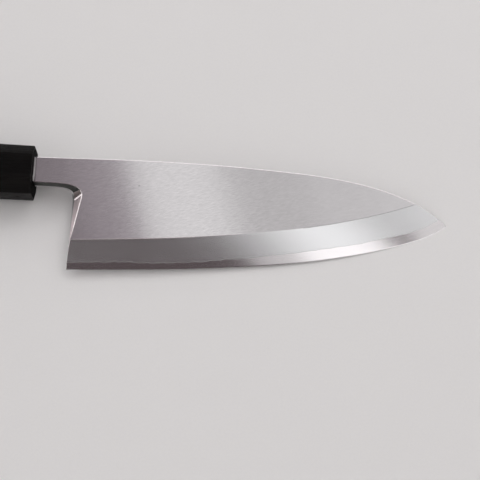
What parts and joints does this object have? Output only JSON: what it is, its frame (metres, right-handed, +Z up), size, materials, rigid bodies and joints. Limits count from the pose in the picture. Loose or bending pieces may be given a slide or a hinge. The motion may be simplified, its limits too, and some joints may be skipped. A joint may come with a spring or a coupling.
{
  "type": "deba knife",
  "caption": "Single-bevel deba kitchen knife with a thick laminated steel blade, a black horn ferrule and a dark octagonal wooden grip.",
  "frame": {"origin": "on the table, under the middle of the knife's bounding box, as the knife lies at rest with its bevelled side up", "axes": "+X along the knife towards the tip, +Y towards the spine, +Z up; the blade's back is about 3 degrees off level because the handle is thicker than the blade"},
  "size_m": [0.3322, 0.0576, 0.0274],
  "materials": {
    "soft_iron": "satin ground flat, fine scratches",
    "hard_steel": "fine ground, brighter than the iron",
    "buffalo_horn": "black, polished",
    "ebony": "near-black, close-grained, satin",
    "dowel_wood": "bare pale wood",
    "bedding_resin": "hard amber resin",
    "seal": "matt black"
  },
  "bodies": {
    "root": {"jigane_body": "soft_iron", "hagane_layer": "hard_steel", "horn_ferrule": "buffalo_horn", "grip": "ebony", "core_dowel": "dowel_wood", "tang_bedding": "bedding_resin", "mouth_seal": "seal"}
  },
  "joints": []
}
